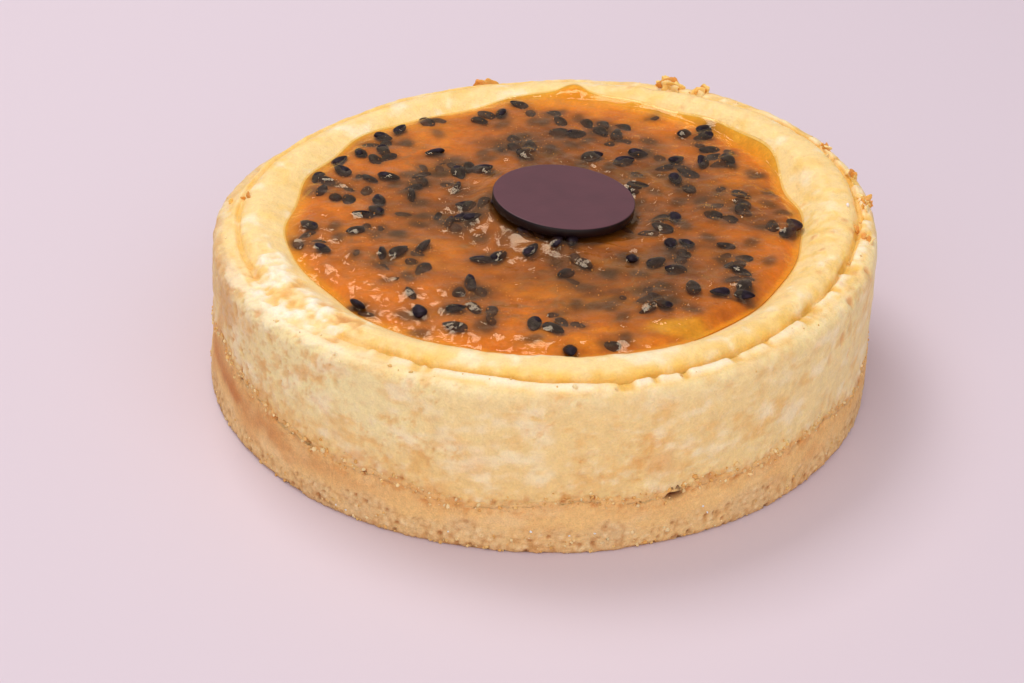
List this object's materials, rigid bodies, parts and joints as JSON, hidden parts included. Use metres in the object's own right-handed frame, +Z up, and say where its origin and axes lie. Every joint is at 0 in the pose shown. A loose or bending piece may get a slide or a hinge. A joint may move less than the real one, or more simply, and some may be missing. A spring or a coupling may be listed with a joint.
{
  "type": "baked cheesecake",
  "caption": "Whole round baked cheesecake on a biscuit base, with a raised pale rim around a pool of seeded passion fruit jelly and a plain round chocolate plaque.",
  "frame": {"origin": "centre of the flat underside", "axes": "+Z up through the cake, -Y towards the front that the picture shows, +X to the right"},
  "size_m": [0.1799, 0.1799, 0.0502],
  "materials": {
    "biscuit": "matte",
    "filling": "matte",
    "jelly": "gloss",
    "chocolate": "satin",
    "seed": "gloss"
  },
  "bodies": {
    "root": {"biscuit_base": "biscuit", "baked_filling": "filling", "passion_fruit_jelly": "jelly", "chocolate_plaque": "chocolate"}
  },
  "joints": []
}
